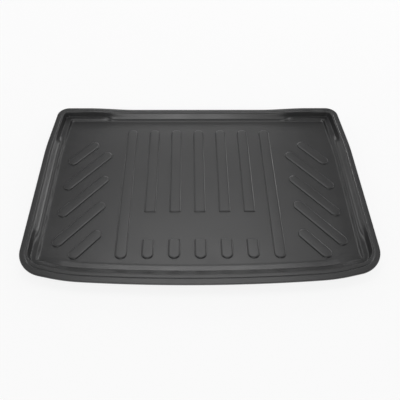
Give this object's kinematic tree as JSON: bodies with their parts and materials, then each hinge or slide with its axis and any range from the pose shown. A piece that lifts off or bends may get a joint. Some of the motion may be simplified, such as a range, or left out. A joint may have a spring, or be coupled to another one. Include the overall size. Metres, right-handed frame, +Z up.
{
  "type": "car boot liner",
  "caption": "Shallow rectangular boot liner tray moulded in one piece, with a raised lip, sloped sides and raised grip pads on its floor.",
  "frame": {"origin": "below the middle of the liner, on the surface that it lies on", "axes": "+X to the right across the car, +Y from the load sill towards the seats, +Z up"},
  "size_m": [1, 0.714, 0.031],
  "materials": {
    "liner_plastic": "dark grey moulded plastic with a very fine grain and a low satin sheen"
  },
  "bodies": {
    "root": {"liner_tray": "liner_plastic"}
  },
  "joints": []
}
